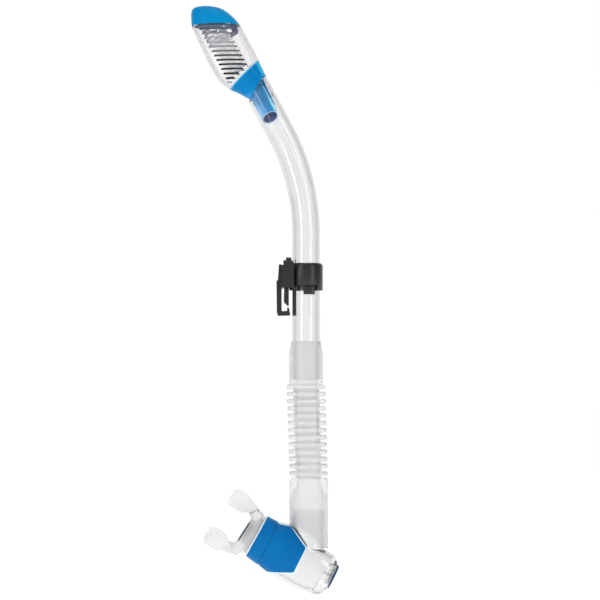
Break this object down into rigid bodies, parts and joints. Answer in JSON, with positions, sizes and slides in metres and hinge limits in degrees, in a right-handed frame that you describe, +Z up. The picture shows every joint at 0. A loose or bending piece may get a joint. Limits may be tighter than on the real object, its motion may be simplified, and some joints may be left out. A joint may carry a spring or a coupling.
{
  "type": "snorkel",
  "caption": "Dry-top snorkel with a float-valve head, curved clear barrel, strap keeper, corrugated silicone hose, purge valve housing and silicone mouthpiece.",
  "frame": {"origin": "On the barrel's axis, half way up the keeper's collar", "axes": "+Z up the straight barrel, +X away from the mouthpiece so that the barrel bends towards -X, +Y to the back cover"},
  "size_m": [0.1132, 0.0364, 0.4482],
  "materials": {
    "clear_plastic": "clear moulded polycarbonate, polished",
    "blue_plastic": "azure blue moulded plastic, satin gloss",
    "silicone": "translucent silicone, soft satin",
    "steel": "plain stainless pin",
    "white_plastic": "white moulded plastic",
    "navy_rubber": "dark blue valve rubber",
    "black_plastic": "black moulded plastic, satin",
    "slate_plastic": "slate blue moulded plastic"
  },
  "bodies": {
    "barrel": {"barrel": "clear_plastic", "float_cage": "clear_plastic", "head_cap": "blue_plastic", "head_collar": "blue_plastic", "spigot_seal": "silicone", "air_duct": "clear_plastic", "rocker_pin": "steel"},
    "rocker": {"rocker": "white_plastic"},
    "float": {"float": "white_plastic"},
    "plug": {"valve_plug": "navy_rubber"},
    "liner": {"keeper_liner": "black_plastic"},
    "keeper": {"keeper_collar": "black_plastic", "clip_frame": "black_plastic"},
    "gate": {"clip_gate": "black_plastic"},
    "button_front": {"button_front": "black_plastic"},
    "button_back": {"button_back": "black_plastic"},
    "hose": {"hose": "silicone"},
    "mouth_unit": {"purge_housing": "clear_plastic", "front_cover": "blue_plastic", "back_cover": "blue_plastic", "mouth_band": "blue_plastic", "mouthpiece": "silicone", "purge_seat": "clear_plastic", "purge_cover": "slate_plastic"},
    "diaphragm": {"purge_diaphragm": "silicone"}
  },
  "joints": [
    {"name": "float_slide", "type": "slide", "parent": "barrel", "child": "float", "axis": [-0.4695, 0, 0.8829], "range_m": [0, 0.008]},
    {"name": "rocker_turn", "type": "hinge", "parent": "barrel", "child": "rocker", "pos_m": [-0.06328, 0, 0.1934], "axis": [0, 1, 0], "range_deg": [0, 35]},
    {"name": "plug_slide", "type": "slide", "parent": "barrel", "child": "plug", "axis": [-0.4695, 0, 0.8829], "range_m": [-0.0033, 0]},
    {"name": "keeper_slide", "type": "slide", "parent": "barrel", "child": "liner", "axis": [0, 0, 1], "range_m": [-0.017, 0.017]},
    {"name": "keeper_turn", "type": "hinge", "parent": "liner", "child": "keeper", "pos_m": [0, 0, 0], "axis": [0, 0, 1], "range_deg": [-8, 18]},
    {"name": "gate_flex", "type": "hinge", "parent": "keeper", "child": "gate", "pos_m": [-0.0155, 0, -0.006], "axis": [0, 1, 0], "range_deg": [0, 7], "stiffness_Nm_per_rad": 0.05},
    {"name": "button_front_press", "type": "slide", "parent": "keeper", "child": "button_front", "axis": [0, 1, 0], "range_m": [0, 0.0008], "stiffness_N_per_m": 600},
    {"name": "button_back_press", "type": "slide", "parent": "keeper", "child": "button_back", "axis": [0, -1, 0], "range_m": [0, 0.0008], "stiffness_N_per_m": 600},
    {"name": "hose_turn", "type": "hinge", "parent": "barrel", "child": "hose", "pos_m": [0, 0, -0.06], "axis": [0, 0, 1], "range_deg": [-90, 90]},
    {"name": "hose_flex", "type": "hinge", "parent": "hose", "child": "mouth_unit", "pos_m": [0.001, 0, -0.1175], "axis": [0, 1, 0], "range_deg": [-30, 30], "stiffness_Nm_per_rad": 1, "deforming": ["hose"]},
    {"name": "diaphragm_lift", "type": "slide", "parent": "mouth_unit", "child": "diaphragm", "axis": [0.8949, 0, -0.4462], "range_m": [0, 0.001], "stiffness_N_per_m": 60}
  ],
  "couplings": [
    {"joint": "rocker_turn", "follows": "float_slide", "rad_per_m": 76.358},
    {"joint": "plug_slide", "follows": "float_slide", "ratio": -0.41}
  ]
}
